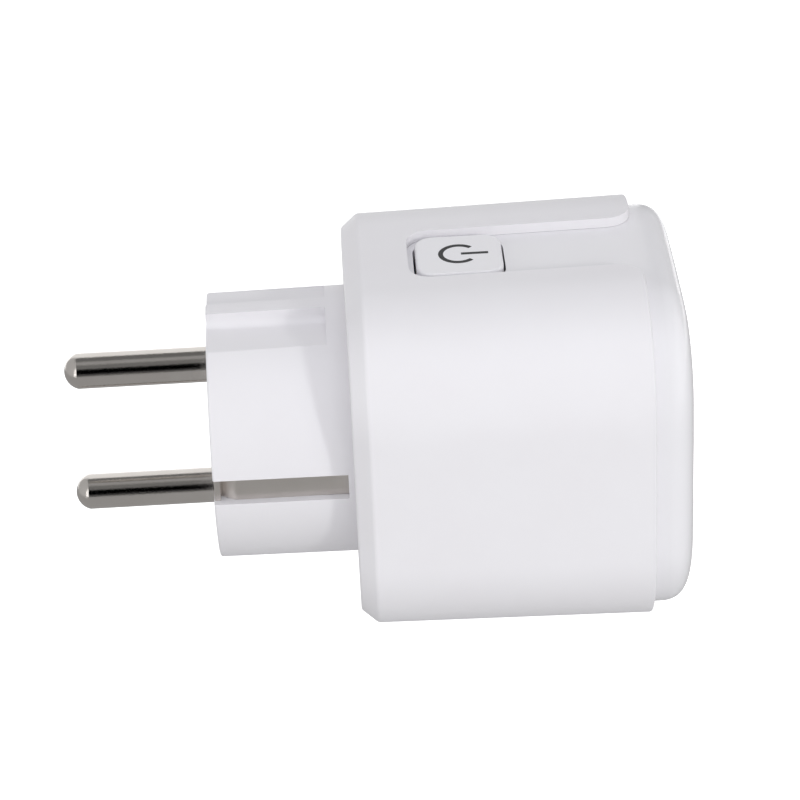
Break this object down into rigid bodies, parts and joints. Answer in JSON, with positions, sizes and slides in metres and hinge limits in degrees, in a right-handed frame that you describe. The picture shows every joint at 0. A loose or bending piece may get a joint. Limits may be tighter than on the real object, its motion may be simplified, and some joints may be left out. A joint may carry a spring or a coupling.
{
  "type": "smart plug",
  "caption": "Wi-Fi smart plug with round-pin plug boss, side earth contacts, earthed socket recess and a power button.",
  "frame": {"origin": "centre of the plug boss's flat end face, between the two pins", "axes": "+X along the plug's axis from the pins to the socket recess, +Z towards the button's side, which is also the line of the two pins"},
  "size_m": [0.0827, 0.0496, 0.0496],
  "materials": {
    "housing_white": "fine satin texture",
    "cover_gloss_white": "smooth gloss",
    "button_white": "satin",
    "nickel_plate": "polished nickel",
    "earth_nickel": "rolled nickel plate",
    "tinned_brass": "rolled",
    "spring_steel": "zinc plated",
    "black_plastic": "moulded",
    "shutter_plastic": "moulded",
    "circuit_board": "solder mask",
    "component_case": "moulded",
    "varistor_blue": "dipped lacquer",
    "capacitor_sleeve": "shrink sleeve",
    "coil_copper": "enamelled wire",
    "shield_can": "tin plated",
    "led_lens": "clear"
  },
  "bodies": {
    "plug": {"rear_housing": "housing_white", "front_cover": "cover_gloss_white", "socket_insert": "housing_white", "live_pin": "nickel_plate", "neutral_pin": "nickel_plate", "pin_carrier": "black_plastic", "earth_strap_left": "earth_nickel", "earth_strap_right": "earth_nickel", "earth_link": "earth_nickel", "live_contact": "tinned_brass", "neutral_contact": "tinned_brass", "shutter_frame": "black_plastic", "shutter_spring": "spring_steel", "button_board": "circuit_board", "tact_switch_body": "black_plastic", "status_led": "led_lens", "main_board": "circuit_board", "relay": "component_case", "film_capacitor": "component_case", "fuse": "black_plastic", "bridge_rectifier": "black_plastic", "metering_chip": "black_plastic", "supply_chip": "black_plastic", "varistor": "varistor_blue", "bulk_capacitor_1": "capacitor_sleeve", "bulk_capacitor_2": "capacitor_sleeve", "supply_inductor": "coil_copper", "noise_choke": "coil_copper", "wifi_board": "circuit_board", "wifi_shield": "shield_can", "housing_screw_1": "spring_steel", "housing_screw_2": "spring_steel"},
    "button": {"power_button": "button_white"},
    "plunger": {"tact_switch_plunger": "black_plastic"},
    "shutter_body": {"shutter": "shutter_plastic"}
  },
  "joints": [
    {"name": "button_press", "type": "slide", "parent": "plug", "child": "button", "axis": [0, 0, -1], "range_m": [0, 0.0005], "stiffness_N_per_m": 3000},
    {"name": "plunger_press", "type": "slide", "parent": "plug", "child": "plunger", "axis": [0, 0, -1], "range_m": [0, 0.0005]},
    {"name": "shutter_turn", "type": "hinge", "parent": "plug", "child": "shutter_body", "pos_m": [0.042, 0, 0], "axis": [1, 0, 0], "range_deg": [0, 45], "stiffness_Nm_per_rad": 0.005, "springref_deg": -2.86}
  ],
  "couplings": [
    {"joint": "plunger_press", "follows": "button_press", "ratio": 1}
  ]
}
